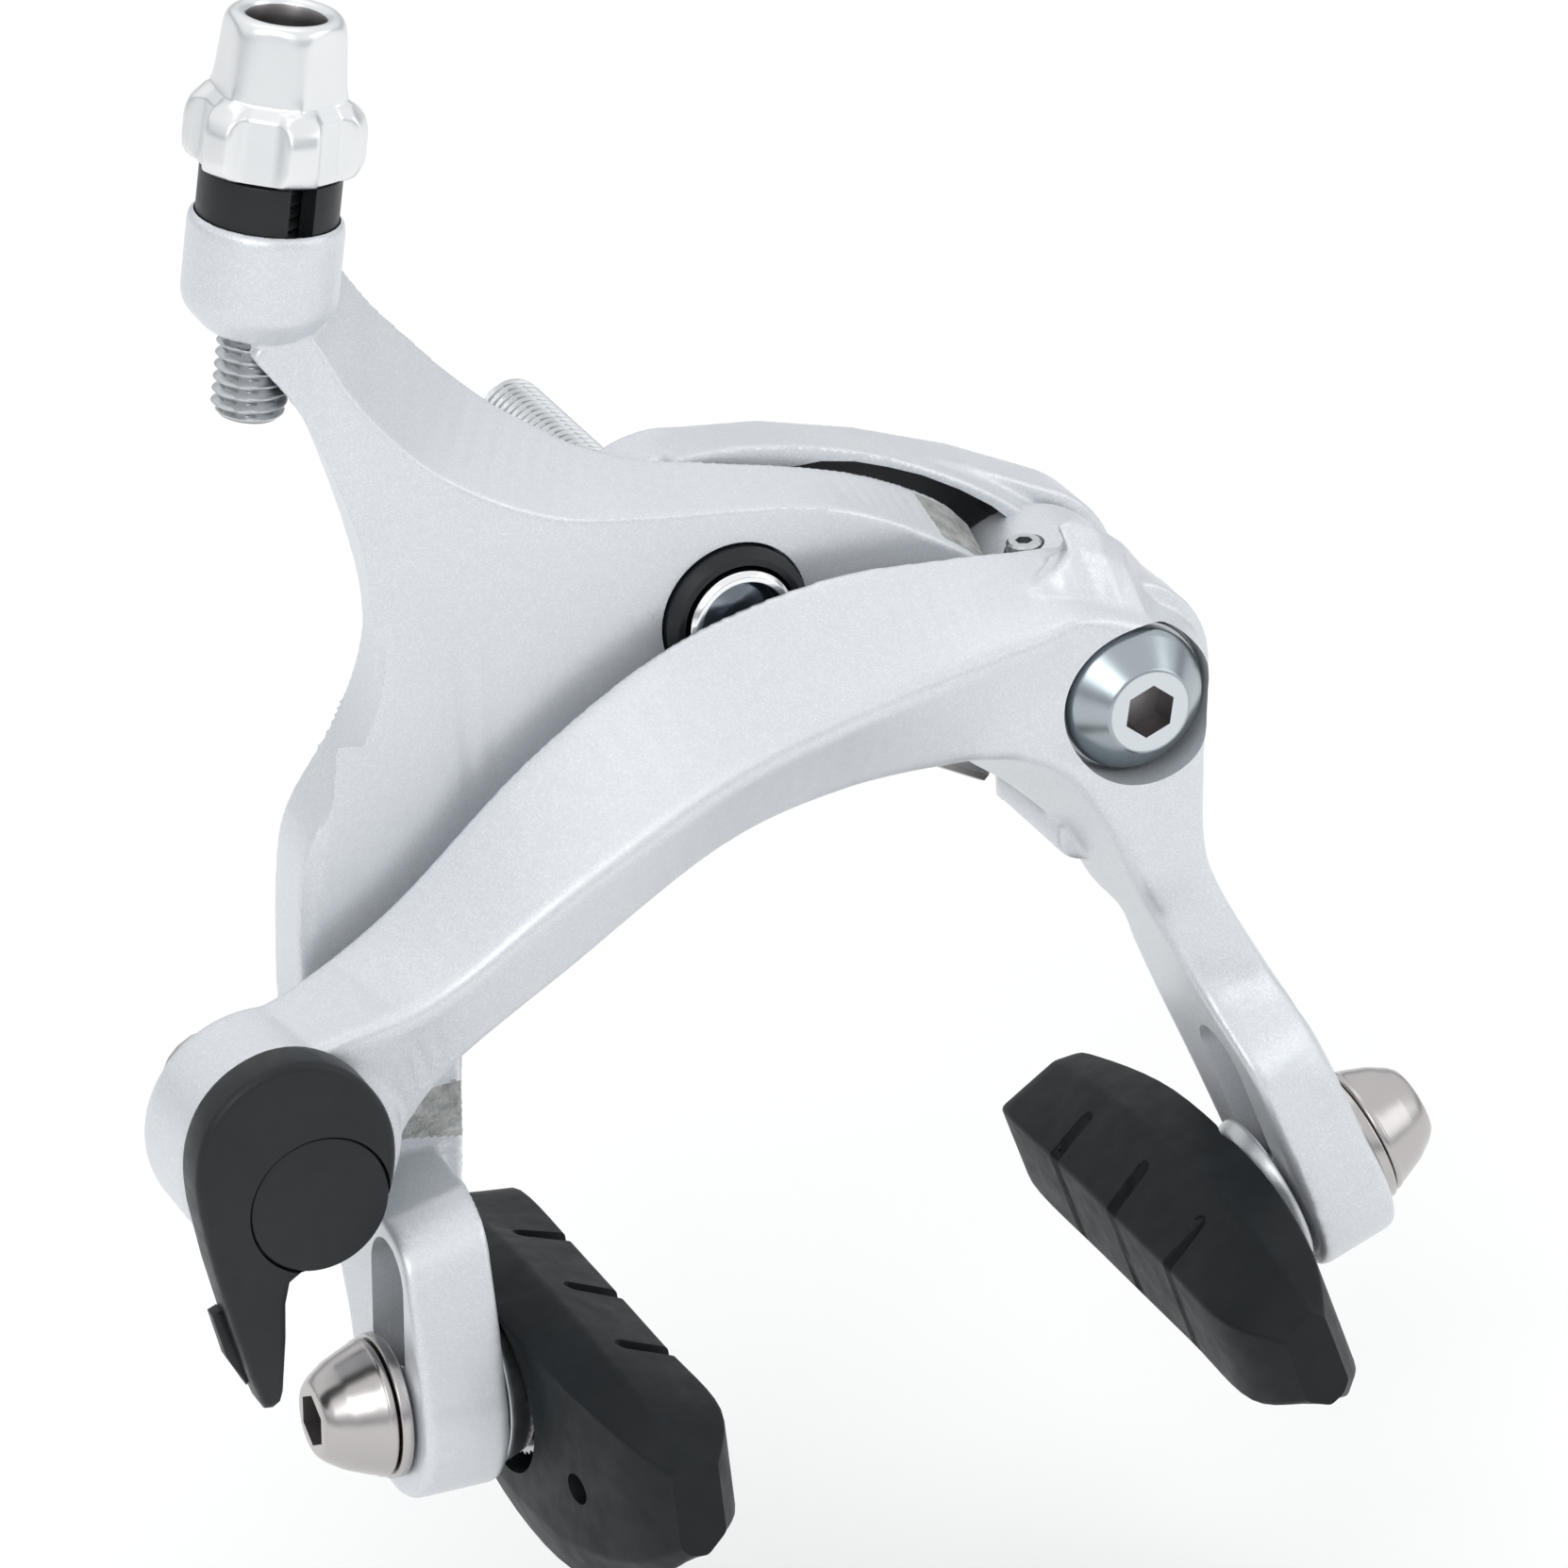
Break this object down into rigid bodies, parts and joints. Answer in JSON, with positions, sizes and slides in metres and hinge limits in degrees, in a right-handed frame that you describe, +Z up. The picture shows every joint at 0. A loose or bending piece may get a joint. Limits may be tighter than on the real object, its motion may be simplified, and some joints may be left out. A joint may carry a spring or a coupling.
{
  "type": "bicycle rim brake caliper",
  "caption": "Dual-pivot side-pull rim brake caliper with cable adjuster, quick release lever, coupled arms and adjustable brake shoes.",
  "frame": {"origin": "on the centre bolt's axis, at the plane that meets the fork", "axes": "+Y back along the centre bolt into the fork, +X right as seen from the front, +Z up"},
  "size_m": [0.1109, 0.0857, 0.1292],
  "materials": {
    "silver_paint": "satin silver metallic paint",
    "chrome": "polished chrome plate",
    "stainless": "polished stainless steel",
    "zinc": "bright zinc plate",
    "black_plastic": "moulded, matt",
    "pad_rubber": "moulded brake rubber",
    "white_nylon": "moulded nylon"
  },
  "bodies": {
    "bracket_body": {"bracket": "silver_paint", "centre_bolt": "zinc", "centre_nut": "chrome", "centre_seal_ring": "black_plastic", "toothed_washer": "zinc", "hub_thrust_washer": "zinc", "side_pivot_bolt": "chrome", "side_pivot_washer": "zinc", "return_spring": "stainless"},
    "y_arm_body": {"y_arm": "silver_paint", "spring_slider_left": "white_nylon"},
    "adjuster_body": {"adjuster_collar": "black_plastic"},
    "adjuster_grip_body": {"adjuster_barrel": "chrome", "adjuster_bolt": "zinc"},
    "c_arm_body": {"c_arm": "silver_paint", "side_pivot_bush": "white_nylon", "spring_slider_right": "white_nylon", "cable_anchor_plate": "zinc", "cable_anchor_bolt": "stainless"},
    "centering_screw_body": {"centering_screw": "zinc"},
    "quick_release_body": {"quick_release_lever": "black_plastic", "quick_release_cap": "black_plastic", "quick_release_cam": "zinc"},
    "left_clamp_body": {"left_dome_nut": "stainless", "left_outer_washer": "stainless", "left_spacer_disc": "zinc"},
    "left_shoe_body": {"left_shoe": "pad_rubber", "left_shoe_plate": "zinc", "left_shoe_stud": "stainless", "left_serrated_washer": "stainless"},
    "right_clamp_body": {"right_dome_nut": "stainless", "right_outer_washer": "stainless", "right_spacer_disc": "zinc"},
    "right_shoe_body": {"right_shoe": "pad_rubber", "right_shoe_plate": "zinc", "right_shoe_stud": "stainless", "right_serrated_washer": "stainless"}
  },
  "joints": [
    {"name": "y_arm_pivot", "type": "hinge", "parent": "bracket_body", "child": "y_arm_body", "pos_m": [0, 0, 0], "axis": [0, -1, 0], "range_deg": [0, 12], "stiffness_Nm_per_rad": 1, "springref_deg": -22.92, "deforming": ["return_spring"]},
    {"name": "c_arm_pivot", "type": "hinge", "parent": "bracket_body", "child": "c_arm_body", "pos_m": [0.0302, -0.02, -0.0099], "axis": [0, 1, 0], "range_deg": [0, 13.5], "stiffness_Nm_per_rad": 0.9, "springref_deg": -22.92},
    {"name": "adjuster_rise", "type": "slide", "parent": "y_arm_body", "child": "adjuster_body", "axis": [0.1719, 0, 0.9851], "range_m": [0, 0.0031]},
    {"name": "adjuster_turn", "type": "hinge", "parent": "adjuster_body", "child": "adjuster_grip_body", "pos_m": [-0.0366, -0.014, 0.0348], "axis": [0.1719, 0, 0.9851], "range_deg": [0, 1080]},
    {"name": "centering_screw_turn", "type": "hinge", "parent": "c_arm_body", "child": "centering_screw_body", "pos_m": [0.0276, -0.0156, -0.0044], "axis": [0, 0, 1], "range_deg": [-180, 180]},
    {"name": "quick_release_turn", "type": "hinge", "parent": "c_arm_body", "child": "quick_release_body", "pos_m": [-0.0449, -0.025, -0.0342], "axis": [0, 1, 0], "range_deg": [0, 72]},
    {"name": "left_clamp_rise", "type": "slide", "parent": "y_arm_body", "child": "left_clamp_body", "axis": [0.0419, 0, 0.9991], "range_m": [0, 0.005]},
    {"name": "left_shoe_turn", "type": "hinge", "parent": "left_clamp_body", "child": "left_shoe_body", "pos_m": [-0.0354, -0.032, -0.0559], "axis": [0.9991, 0, -0.0419], "range_deg": [-10, 10]},
    {"name": "right_clamp_rise", "type": "slide", "parent": "c_arm_body", "child": "right_clamp_body", "axis": [-0.3256, 0, 0.9455], "range_m": [0, 0.008]},
    {"name": "right_shoe_turn", "type": "hinge", "parent": "right_clamp_body", "child": "right_shoe_body", "pos_m": [0.0446, -0.032, -0.0563], "axis": [0.9455, 0, 0.3256], "range_deg": [-10, 10]}
  ],
  "couplings": [
    {"joint": "c_arm_pivot", "follows": "y_arm_pivot", "ratio": 1.11},
    {"joint": "adjuster_rise", "follows": "adjuster_turn", "m_per_rad": 0.00015915}
  ]
}
